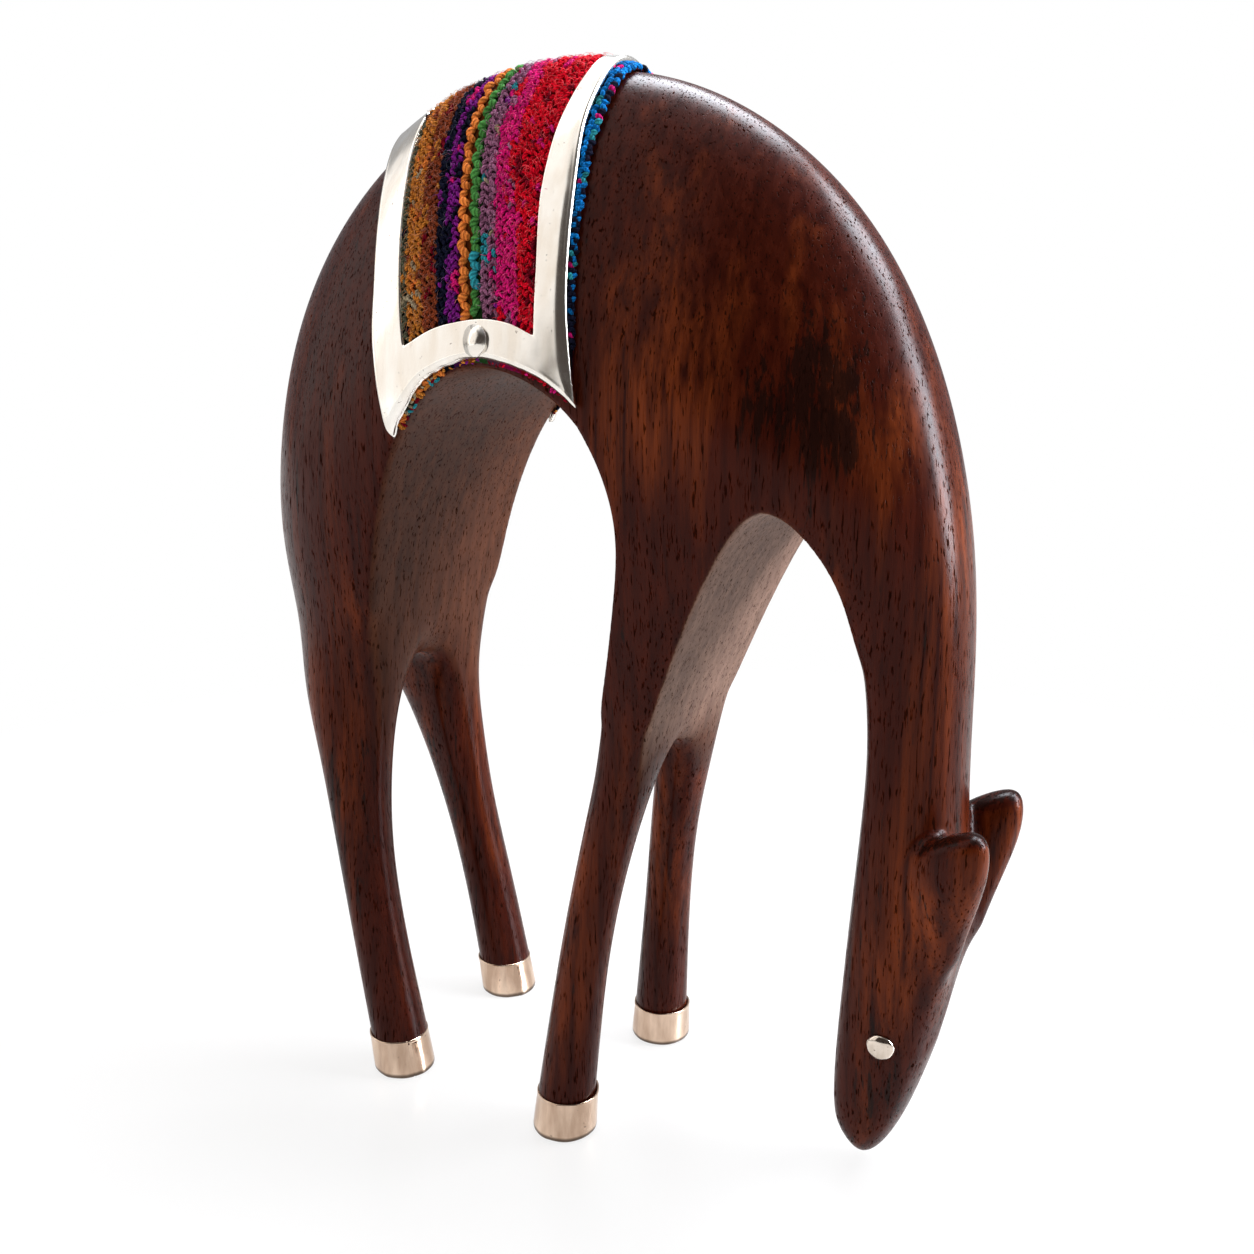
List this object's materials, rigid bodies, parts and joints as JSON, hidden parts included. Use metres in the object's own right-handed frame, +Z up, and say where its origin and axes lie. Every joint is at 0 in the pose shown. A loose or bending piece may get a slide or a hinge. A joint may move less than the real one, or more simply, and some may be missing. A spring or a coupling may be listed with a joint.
{
  "type": "carved wooden vicuna statue",
  "caption": "Carved dark wood statue of a grazing vicuna, head down to the floor, with silver hoof caps, stud eyes and a striped wool saddle cloth in a silver frame.",
  "frame": {"origin": "centre of the bounding box's underside, on the floor that the hoof caps stand on", "axes": "+X the way the animal faces, +Y its left side, +Z up"},
  "size_m": [0.1948, 0.0722, 0.2512],
  "materials": {
    "wood": "dark reddish brown hardwood, oiled and polished to a satin sheen",
    "silver": "polished silver sheet with small dents and scratches",
    "wool": "hand knitted wool in narrow stripes of many colours"
  },
  "bodies": {
    "root": {"torso": "wood", "neck": "wood", "head": "wood", "ear_left": "wood", "ear_right": "wood", "front_leg_left": "wood", "front_leg_right": "wood", "hind_leg_left": "wood", "hind_leg_right": "wood", "eye_left": "silver", "eye_right": "silver", "hoof_cap_front_left": "silver", "hoof_cap_front_right": "silver", "hoof_cap_hind_left": "silver", "hoof_cap_hind_right": "silver", "saddle_frame": "silver", "rivet_left": "silver", "rivet_right": "silver", "saddle_cloth": "wool"}
  },
  "joints": []
}
